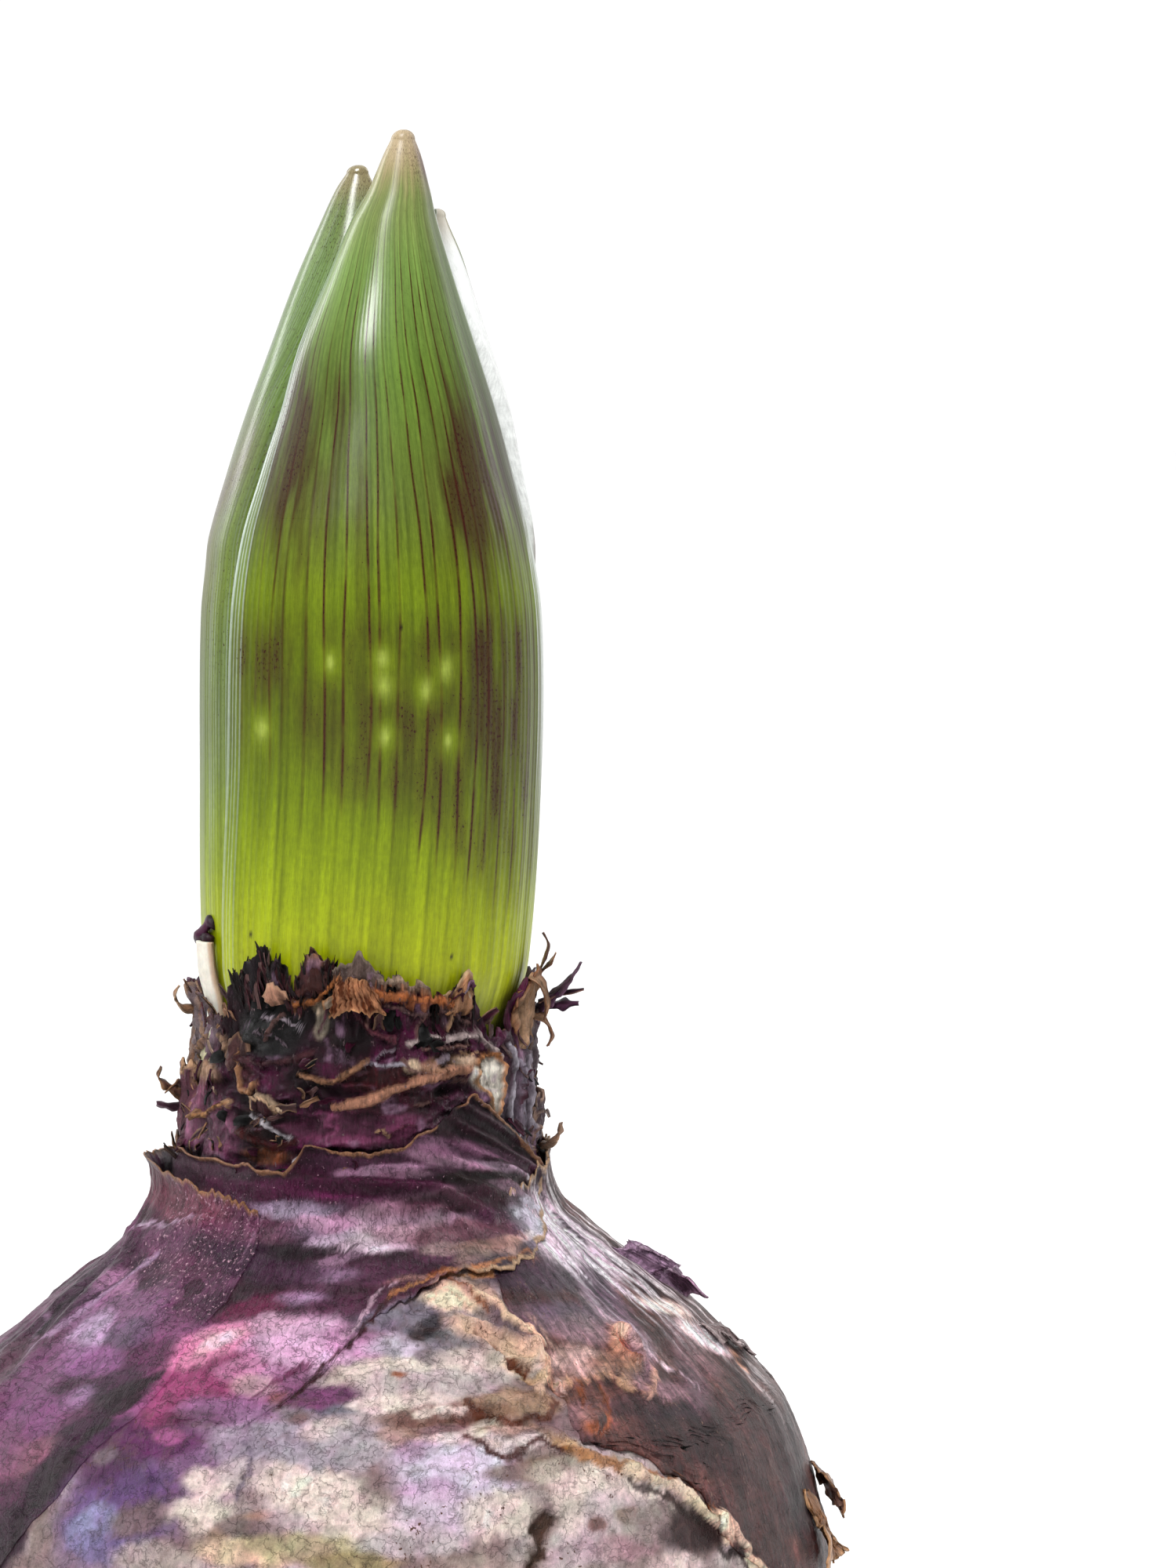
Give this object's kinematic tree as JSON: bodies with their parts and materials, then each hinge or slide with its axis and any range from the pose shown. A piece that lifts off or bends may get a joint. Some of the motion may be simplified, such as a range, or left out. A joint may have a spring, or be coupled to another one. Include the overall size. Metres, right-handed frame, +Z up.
{
  "type": "hyacinth bulb",
  "caption": "Sprouting hyacinth bulb with dry purple tunics, a ragged neck of old scale tips and a closed spear of striped green leaves, standing on its basal plate.",
  "frame": {"origin": "centre of the flat spot under the basal plate, on which the bulb stands", "axes": "+Z up along the shoot, -Y towards the side of the broadest leaf, +X to the right when facing that side"},
  "size_m": [0.0563, 0.0565, 0.114],
  "materials": {
    "cork": "dull corky tissue with dried roots",
    "bulb_skin": "mottled cream, grey and lilac skin, satin",
    "brown_tunic": "dry papery skin with fine fibres, satin",
    "purple_tunic": "dry papery purple skin with folds, glossy in places",
    "dry_scales": "withered fibrous scale tips with tan torn edges",
    "leaf": "waxy living leaf, ribbed, with purple brown stripes"
  },
  "bodies": {
    "root": {"basal_plate": "cork", "bulb_body": "bulb_skin", "tunic_right": "brown_tunic", "tunic_collar": "purple_tunic", "tunic_left": "purple_tunic", "neck_scales": "dry_scales", "leaf_front": "leaf", "leaf_back": "leaf", "leaf_left": "leaf"}
  },
  "joints": []
}
